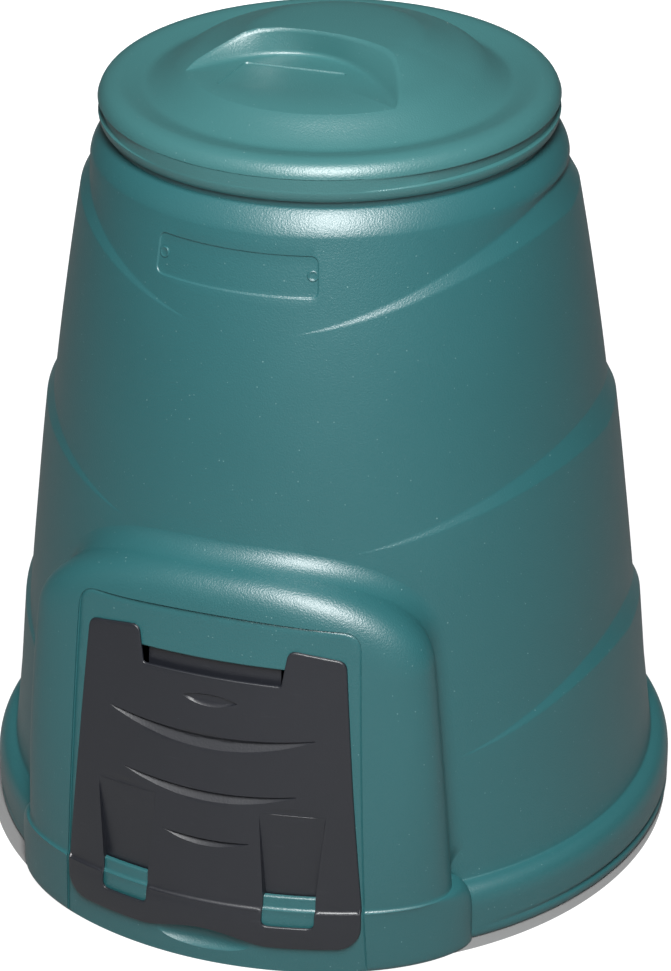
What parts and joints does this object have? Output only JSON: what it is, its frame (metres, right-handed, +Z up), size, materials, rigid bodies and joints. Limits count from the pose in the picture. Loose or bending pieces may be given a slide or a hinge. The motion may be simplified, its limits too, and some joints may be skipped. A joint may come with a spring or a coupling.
{
  "type": "compost bin with lid",
  "caption": "Round tapered garden compost bin, open at the foot, with a push-on domed lid and a lift-up hatch at the foot for taking compost out.",
  "frame": {"origin": "on the ground, under the middle of the bin's bounding box", "axes": "+Z up, the hatch faces -Y, +X to the right of someone who looks at the hatch"},
  "size_m": [0.74, 0.7728, 0.863],
  "materials": {
    "body_plastic": "satin, slightly grained teal green",
    "lid_plastic": "satin teal green, a little lighter than the body",
    "hatch_plastic": "satin black"
  },
  "bodies": {
    "shell": {"body": "body_plastic"},
    "lid": {"lid": "lid_plastic"},
    "hatch": {"hatch": "hatch_plastic"}
  },
  "joints": [
    {"name": "lid_lift", "type": "slide", "parent": "shell", "child": "lid", "axis": [0, 0, 1], "range_m": [0, 0.15]},
    {"name": "hatch_lift", "type": "slide", "parent": "shell", "child": "hatch", "axis": [0, 0.07, 0.9975], "range_m": [0, 0.0155]}
  ]
}
